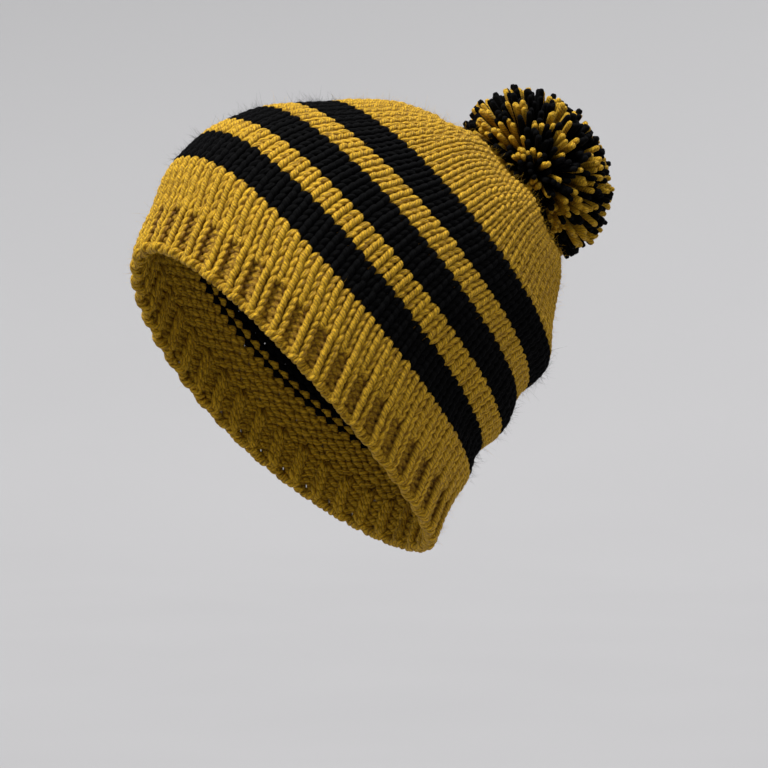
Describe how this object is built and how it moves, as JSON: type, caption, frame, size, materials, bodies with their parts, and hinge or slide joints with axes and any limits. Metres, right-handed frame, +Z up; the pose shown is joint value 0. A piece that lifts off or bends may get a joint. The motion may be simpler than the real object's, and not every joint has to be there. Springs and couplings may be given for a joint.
{
  "type": "knit beanie",
  "caption": "Striped knitted beanie worn tilted back, with a ribbed brim, a gathered crown and a round yarn pompom that rocks on its tie.",
  "frame": {"origin": "centre of the brim opening, midway between the forehead edge and the nape edge", "axes": "+Z up as worn, the wearer faces -X, +Y towards the wearer's right; the hat's own axis leans back from +Z towards +X"},
  "size_m": [0.2569, 0.1694, 0.2335],
  "materials": {
    "gold_yarn": "plied worsted yarn with a slight sheen",
    "black_yarn": "matt brushed yarn with short fuzz"
  },
  "bodies": {
    "hat": {"rib_brim": "gold_yarn", "gold_band": "gold_yarn", "black_stripe_1": "black_yarn", "gold_stripe_1": "gold_yarn", "black_stripe_2": "black_yarn", "gold_stripe_2": "gold_yarn", "black_stripe_3": "black_yarn", "gold_crown": "gold_yarn", "gold_carry_1": "gold_yarn", "black_carry_1": "black_yarn", "gold_carry_2": "gold_yarn", "black_carry_2": "black_yarn", "gold_carry_3": "gold_yarn", "cast_on_tail": "gold_yarn", "gather_yarn": "gold_yarn", "inner_knot": "black_yarn", "knot_tail_left": "black_yarn", "knot_tail_right": "black_yarn"},
    "shank": {"pompom_shank": "black_yarn"},
    "tie": {"pompom_tie": "black_yarn"},
    "pompom": {"tuft_1_1": "black_yarn", "tuft_2_1": "gold_yarn", "tuft_2_2": "black_yarn", "tuft_2_3": "gold_yarn", "tuft_2_4": "black_yarn", "tuft_2_5": "gold_yarn", "tuft_3_1": "black_yarn", "tuft_3_2": "gold_yarn", "tuft_3_3": "black_yarn", "tuft_3_4": "gold_yarn", "tuft_3_5": "black_yarn", "tuft_3_6": "gold_yarn", "tuft_3_7": "black_yarn", "tuft_3_8": "gold_yarn", "tuft_4_1": "gold_yarn", "tuft_4_2": "black_yarn", "tuft_4_3": "gold_yarn", "tuft_4_4": "black_yarn", "tuft_4_5": "gold_yarn", "tuft_4_6": "black_yarn", "tuft_4_7": "gold_yarn"}
  },
  "joints": [
    {"name": "pompom_twist", "type": "hinge", "parent": "hat", "child": "shank", "pos_m": [0.1439, 0, 0.1167], "axis": [0.7527, 0, 0.6584], "range_deg": [-30, 30], "stiffness_Nm_per_rad": 0.006},
    {"name": "pompom_nod", "type": "hinge", "parent": "shank", "child": "tie", "pos_m": [0.1439, 0, 0.1167], "axis": [0, 1, 0], "range_deg": [-15, 15], "stiffness_Nm_per_rad": 0.01},
    {"name": "pompom_sway", "type": "hinge", "parent": "tie", "child": "pompom", "pos_m": [0.1439, 0, 0.1167], "axis": [0.6584, 0, -0.7527], "range_deg": [-15, 15], "stiffness_Nm_per_rad": 0.01}
  ]
}
